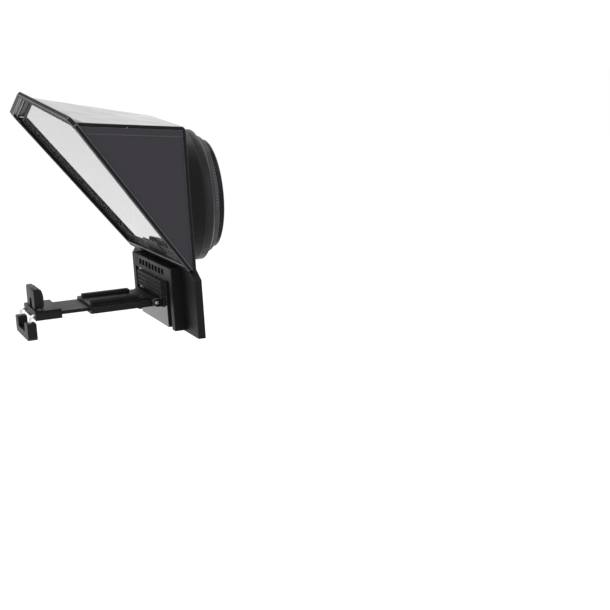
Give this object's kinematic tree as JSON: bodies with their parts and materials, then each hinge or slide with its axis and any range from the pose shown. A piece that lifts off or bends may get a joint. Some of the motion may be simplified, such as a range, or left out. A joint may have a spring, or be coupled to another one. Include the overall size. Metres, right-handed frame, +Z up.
{
  "type": "camera teleprompter",
  "caption": "Compact teleprompter that screws onto a camera lens, with a flared hood, slanted beam-splitter glass and a folding, sliding phone clamp.",
  "frame": {"origin": "on the lens axis, on the step ring's seat against the front of the lens", "axes": "+Y back along the lens axis to the camera, -Y to the talent, +Z up, +X to the operator's left"},
  "size_m": [0.215, 0.1411, 0.1684],
  "materials": {
    "moulded_black": "fine satin texture",
    "side_charcoal": "fine moulded texture",
    "top_gloss": "smooth, strongly reflecting",
    "ring_black": "satin",
    "anodised": "black anodised",
    "glass": "coated beam splitter",
    "rubber": "matte",
    "felt": "felt",
    "panel_gloss": "polished",
    "steel": "bright wire",
    "screw_black": "black oxide",
    "grip_plastic": "satin"
  },
  "bodies": {
    "lens_mount": {"step_ring": "anodised", "lens_ring": "ring_black", "ring_retainer": "ring_black", "retainer_screws": "screw_black"},
    "prompter": {"felt_ring": "felt", "rear_frame": "moulded_black", "hood_left": "side_charcoal", "hood_right": "side_charcoal", "hood_top": "top_gloss", "front_rim": "moulded_black", "beam_splitter_glass": "glass", "glass_gasket": "rubber", "glass_latch": "moulded_black", "glass_clips": "moulded_black", "base_cover": "moulded_black", "front_panel": "panel_gloss", "base_grille": "moulded_black", "rear_pad": "rubber", "base_screws": "screw_black", "hinge_bracket": "moulded_black", "hinge_pin": "steel"},
    "tray": {"phone_tray": "grip_plastic", "tray_pads": "rubber", "clamp_springs": "steel"},
    "clamp": {"slide_plate": "grip_plastic", "front_jaw": "grip_plastic", "jaw_pad": "rubber", "pull_rod_left": "steel", "pull_rod_right": "steel", "rod_set_screws": "screw_black", "pull_handle": "grip_plastic"}
  },
  "joints": [
    {"name": "frame_turn", "type": "hinge", "parent": "lens_mount", "child": "prompter", "pos_m": [0, -0.02, 0], "axis": [0, 1, 0], "continuous": true},
    {"name": "tray_fold", "type": "hinge", "parent": "prompter", "child": "tray", "pos_m": [0, -0.0466, -0.0697], "axis": [-1, 0, 0], "range_deg": [0, 54]},
    {"name": "clamp_slide", "type": "slide", "parent": "tray", "child": "clamp", "axis": [0, -1, 0], "range_m": [-0.018, 0.012], "deforming": ["clamp_springs"]}
  ]
}
